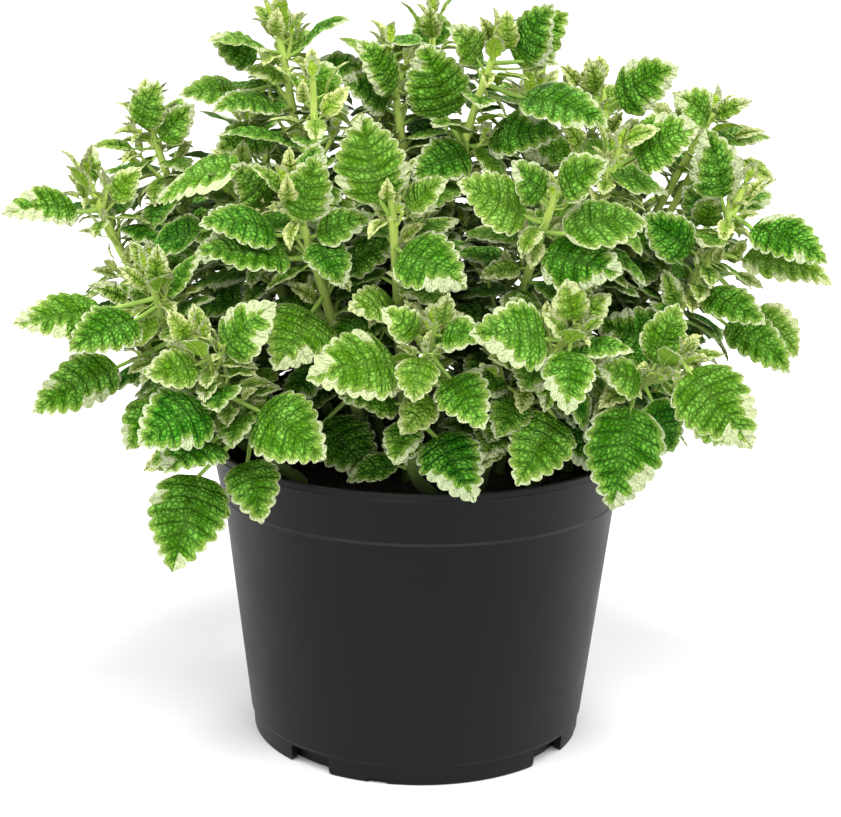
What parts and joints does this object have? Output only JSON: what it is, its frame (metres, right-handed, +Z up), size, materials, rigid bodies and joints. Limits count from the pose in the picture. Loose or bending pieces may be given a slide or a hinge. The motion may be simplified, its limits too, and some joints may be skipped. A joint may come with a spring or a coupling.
{
  "type": "potted mint plant",
  "caption": "Bushy mint plant with cream-edged green leaves on upright stems, growing in potting soil in a plain round black nursery pot.",
  "frame": {"origin": "on the pot's axis, at the level that its feet stand on, which is also the middle of the bottom of the plant's box", "axes": "+Z up, along the pot's axis; the front that the picture shows faces -Y; +X is to the right as seen from the front"},
  "size_m": [0.278, 0.2179, 0.2631],
  "materials": {
    "pot_plastic": "satin black moulded plastic, a little shinier on the lip",
    "potting_soil": "dark crumbly peat with bark, matt",
    "foliage": "soft quilted green leaves with cream edges, on downy yellow-green stems"
  },
  "bodies": {
    "root": {"pot": "pot_plastic", "potting_soil": "potting_soil", "leafy_stem_front_left": "foliage", "leafy_stem_left": "foliage", "leafy_stem_far_left": "foliage", "leafy_stem_upper_left": "foliage", "leafy_stem_mid_left": "foliage", "leafy_stem_front_mid_left": "foliage", "leafy_stem_top_left": "foliage", "leafy_stem_top_left_front": "foliage", "leafy_stem_top_mid_left": "foliage", "leafy_stem_top_back": "foliage", "leafy_stem_top_mid": "foliage", "leafy_stem_front_mid": "foliage", "leafy_stem_front_centre": "foliage", "leafy_stem_upper_right_mid": "foliage", "leafy_stem_front_right_mid": "foliage", "leafy_stem_front_right": "foliage", "leafy_stem_right": "foliage", "leafy_stem_far_right_up": "foliage", "leafy_stem_top_right": "foliage", "leafy_stem_right_mid": "foliage", "leafy_stem_mid_right_back": "foliage", "leafy_stem_back_left": "foliage", "leafy_stem_back_left_low": "foliage", "leafy_stem_back_mid": "foliage", "leafy_stem_back_mid_low": "foliage", "leafy_stem_back_right": "foliage", "leafy_stem_back_right_low": "foliage", "leafy_stem_back_low": "foliage", "leafy_stem_far_right_low": "foliage", "leafy_stem_far_left_low": "foliage"}
  },
  "joints": []
}
